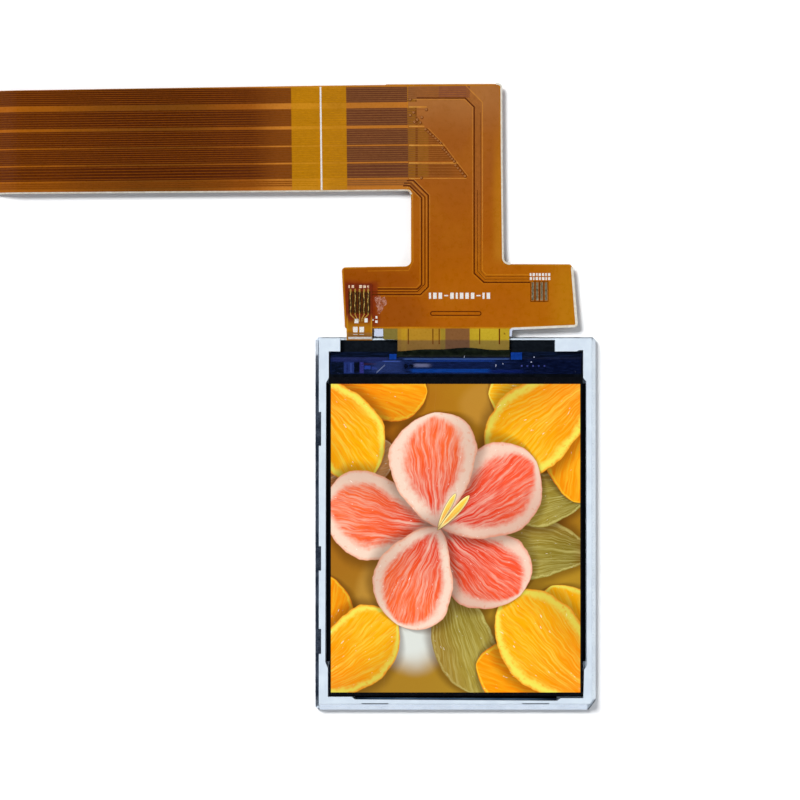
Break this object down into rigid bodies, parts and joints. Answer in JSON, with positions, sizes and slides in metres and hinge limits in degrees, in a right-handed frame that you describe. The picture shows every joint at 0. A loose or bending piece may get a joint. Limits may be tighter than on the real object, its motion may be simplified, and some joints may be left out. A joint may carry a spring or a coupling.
{
  "type": "tft display module",
  "caption": "Flat colour display module in a white moulded frame, lit screen up, with an amber flexible circuit that bends away to a contact end.",
  "frame": {"origin": "middle of the rear metal face of the module", "axes": "+Z out of the screen, +Y from the screen towards the driver ledge and the circuit, +X to the right as the screen is viewed"},
  "size_m": [0.1173, 0.1126, 0.0023],
  "materials": {
    "case_steel": "satin pressed steel",
    "frame_white": "satin moulded white",
    "reflector_film": "bright white film",
    "light_guide": "clear acrylic",
    "optical_film": "frosted film",
    "lamp_body": "moulded lamp",
    "lamp_circuit": "amber polyimide",
    "fixing_tape": "cream tape",
    "shield_black": "matt black tape",
    "polarizer_film": "dark film",
    "cell_glass": "dark polished glass",
    "seal_resin": "cured resin",
    "screen_surface": "semi-gloss film over the lit picture",
    "chip_silicon": "polished silicon",
    "ledge_resin": "blue cured resin",
    "bead_resin": "dark cured resin",
    "polyimide": "amber polyimide over copper",
    "stiffener_board": "polyimide stiffener",
    "gold_copper": "gold-plated copper",
    "tin_copper": "tinned copper",
    "solder": "fluxed solder"
  },
  "bodies": {
    "root": {"rear_metal_case": "case_steel", "mold_frame": "frame_white", "reflector_sheet": "reflector_film", "light_guide_plate": "light_guide", "diffuser_sheet": "optical_film", "lower_prism_sheet": "optical_film", "upper_prism_sheet": "optical_film", "backlight_leds": "lamp_body", "backlight_flex": "lamp_circuit", "led_fixing_tape": "fixing_tape", "light_shield_tape": "shield_black", "rear_polarizer": "polarizer_film", "array_glass": "cell_glass", "cell_seal": "seal_resin", "colour_filter_glass": "cell_glass", "front_polarizer": "screen_surface", "driver_chip": "chip_silicon", "ledge_coating": "ledge_resin", "bond_glue": "bead_resin", "main_flex": "polyimide", "flex_stiffener": "stiffener_board", "contact_fingers": "gold_copper", "touch_pads": "tin_copper", "backlight_solder": "solder"}
  },
  "joints": []
}
